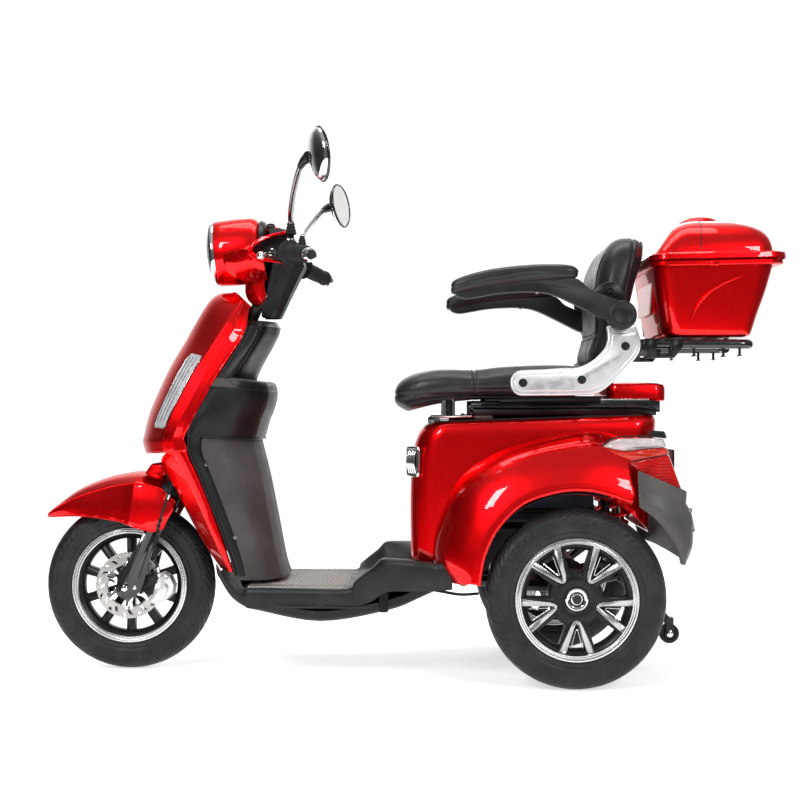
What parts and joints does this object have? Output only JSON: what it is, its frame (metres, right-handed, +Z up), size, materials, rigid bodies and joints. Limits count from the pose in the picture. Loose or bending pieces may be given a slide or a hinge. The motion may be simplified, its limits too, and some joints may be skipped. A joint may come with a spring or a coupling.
{
  "type": "mobility scooter",
  "caption": "Electric three-wheeled mobility scooter with steered front wheel, sprung rear axle, padded seat with swing-up armrests, mirrors and a lidded rear box.",
  "frame": {"origin": "on the floor, in the middle of the length and width", "axes": "-X is the way it drives, -Y its left side, +Z up"},
  "size_m": [1.7502, 0.9698, 1.2365],
  "materials": {
    "red_paint": "deep candy-red metallic paint under clear coat",
    "black_plastic": "moulded black plastic with a fine grain",
    "grey_panel": "dark warm-grey moulded panel, fine grain",
    "grey_bumper": "grey satin plastic",
    "black_steel": "black powder coat",
    "chrome": "polished chrome",
    "alloy": "machined alloy with dark pockets",
    "silver_paint": "silver paint with a fine grain",
    "grip_rubber": "ribbed black rubber",
    "tyre": "black road tyre with a cut tread",
    "leather": "black grained leatherette, stitched",
    "mat": "grey ribbed rubber mat",
    "clear_lens": "clear moulded lens",
    "red_lens": "red and clear moulded lens",
    "battery_case": "dark blue case",
    "motor_metal": "cast housing"
  },
  "bodies": {
    "root": {"chassis_frame": "black_steel", "front_shield": "red_paint", "leg_shield": "grey_panel", "leg_shield_pocket": "black_plastic", "led_lens_left": "clear_lens", "led_lens_right": "clear_lens", "floorboard": "black_plastic", "foot_mat": "mat", "belly_pan": "black_plastic", "battery_pack": "battery_case", "rear_body": "red_paint", "rear_fender_left": "red_paint", "rear_fender_right": "red_paint", "tail_light_left": "red_lens", "tail_light_right": "red_lens", "rear_bumper": "grey_bumper", "shock_spring_left": "red_paint", "shock_spring_right": "red_paint"},
    "steering": {"steering_column": "black_steel", "handlebar": "black_steel", "headlight_housing": "red_paint", "headlight_lens": "clear_lens", "handlebar_cover": "black_plastic", "grip_left": "grip_rubber", "switch_left": "black_plastic", "front_fender": "red_paint", "brake_hose": "grip_rubber"},
    "fork_lower": {"fork_lowers": "black_steel", "brake_caliper": "alloy"},
    "front_wheel": {"front_tyre": "tyre", "front_rim": "alloy", "brake_disc": "chrome"},
    "throttle": {"throttle_grip": "grip_rubber"},
    "horn": {"horn_button": "black_plastic"},
    "key": {"ignition_key": "black_steel"},
    "lever_left": {"brake_lever_left": "chrome"},
    "lever_right": {"brake_lever_right": "chrome"},
    "mirror_left": {"mirror_left": "black_plastic"},
    "mirror_right": {"mirror_right": "black_plastic"},
    "rear_suspension": {"axle_housing": "black_steel", "drive_motor": "motor_metal"},
    "rear_wheel_left": {"rear_tyre_left": "tyre", "rear_rim_left": "alloy"},
    "rear_wheel_right": {"rear_tyre_right": "tyre", "rear_rim_right": "alloy"},
    "anti_tip_left": {"anti_tip_wheel_left": "grip_rubber"},
    "anti_tip_right": {"anti_tip_wheel_right": "grip_rubber"},
    "seat_lid": {"seat_base_plate": "black_steel", "tail_cover": "red_paint"},
    "seat": {"seat_cushion": "leather", "seat_backrest": "leather", "seat_bracket_left": "silver_paint", "seat_bracket_right": "silver_paint", "cargo_rack": "black_steel", "box_tub": "red_paint"},
    "armrest_left": {"arm_shell_left": "black_plastic", "arm_pad_left": "leather"},
    "armrest_right": {"arm_shell_right": "black_plastic", "arm_pad_right": "leather"},
    "box_lid": {"box_lid": "red_paint"}
  },
  "joints": [
    {"name": "steering_turn", "type": "hinge", "parent": "root", "child": "steering", "pos_m": [-0.671, 0, 0.203], "axis": [0.4131, 0, 0.9107], "range_deg": [-35, 35]},
    {"name": "fork_travel", "type": "slide", "parent": "steering", "child": "fork_lower", "axis": [0.4131, 0, 0.9107], "range_m": [0, 0.03], "stiffness_N_per_m": 14000, "springref_m": -0.06},
    {"name": "front_wheel_spin", "type": "hinge", "parent": "fork_lower", "child": "front_wheel", "pos_m": [-0.671, 0, 0.203], "axis": [0, 1, 0], "continuous": true},
    {"name": "throttle_twist", "type": "hinge", "parent": "steering", "child": "throttle", "pos_m": [-0.273, 0.2, 0.987], "axis": [0.3694, 0.9205, -0.1272], "range_deg": [0, 50], "stiffness_Nm_per_rad": 0.4},
    {"name": "horn_press", "type": "slide", "parent": "steering", "child": "horn", "axis": [-1, 0, 0], "range_m": [0, 0.0025], "stiffness_N_per_m": 400},
    {"name": "key_turn", "type": "hinge", "parent": "steering", "child": "key", "pos_m": [-0.33, -0.045, 1.063], "axis": [0, 0, 1], "range_deg": [0, 60]},
    {"name": "lever_left_squeeze", "type": "hinge", "parent": "steering", "child": "lever_left", "pos_m": [-0.3175, -0.16, 0.986], "axis": [0, 0, 1], "range_deg": [0, 12], "stiffness_Nm_per_rad": 1.2},
    {"name": "lever_right_squeeze", "type": "hinge", "parent": "steering", "child": "lever_right", "pos_m": [-0.3175, 0.16, 0.986], "axis": [0, 0, -1], "range_deg": [0, 12], "stiffness_Nm_per_rad": 1.2},
    {"name": "mirror_left_turn", "type": "hinge", "parent": "steering", "child": "mirror_left", "pos_m": [-0.2715, -0.172, 1.03], "axis": [0, 0, 1], "range_deg": [-25, 25]},
    {"name": "mirror_right_turn", "type": "hinge", "parent": "steering", "child": "mirror_right", "pos_m": [-0.2715, 0.172, 1.03], "axis": [0, 0, 1], "range_deg": [-25, 25]},
    {"name": "rear_suspension_travel", "type": "hinge", "parent": "root", "child": "rear_suspension", "pos_m": [0.13, 0, 0.225], "axis": [0, -1, 0], "range_deg": [0, 4.5], "stiffness_Nm_per_rad": 5000, "springref_deg": -4.58, "deforming": ["shock_spring_left", "shock_spring_right"]},
    {"name": "rear_wheel_left_spin", "type": "hinge", "parent": "rear_suspension", "child": "rear_wheel_left", "pos_m": [0.376, -0.2875, 0.203], "axis": [0, 1, 0], "continuous": true},
    {"name": "anti_tip_left_spin", "type": "hinge", "parent": "rear_suspension", "child": "anti_tip_left", "pos_m": [0.607, -0.15, 0.105], "axis": [0, 1, 0], "continuous": true},
    {"name": "rear_wheel_right_spin", "type": "hinge", "parent": "rear_suspension", "child": "rear_wheel_right", "pos_m": [0.376, 0.2875, 0.203], "axis": [0, 1, 0], "continuous": true},
    {"name": "anti_tip_right_spin", "type": "hinge", "parent": "rear_suspension", "child": "anti_tip_right", "pos_m": [0.607, 0.15, 0.105], "axis": [0, 1, 0], "continuous": true},
    {"name": "seat_lid_tilt", "type": "hinge", "parent": "root", "child": "seat_lid", "pos_m": [0.0616, 0, 0.6007], "axis": [0, -1, 0], "range_deg": [0, 40]},
    {"name": "seat_slide", "type": "slide", "parent": "seat_lid", "child": "seat", "axis": [1, 0, 0], "range_m": [-0.03, 0.03]},
    {"name": "armrest_left_lift", "type": "hinge", "parent": "seat", "child": "armrest_left", "pos_m": [0.479, -0.28, 0.837], "axis": [0, 1, 0], "range_deg": [0, 95]},
    {"name": "armrest_right_lift", "type": "hinge", "parent": "seat", "child": "armrest_right", "pos_m": [0.479, 0.28, 0.837], "axis": [0, 1, 0], "range_deg": [0, 95]},
    {"name": "box_lid_open", "type": "hinge", "parent": "seat", "child": "box_lid", "pos_m": [0.5588, 0, 0.969], "axis": [0, -1, 0], "range_deg": [0, 35]}
  ]
}
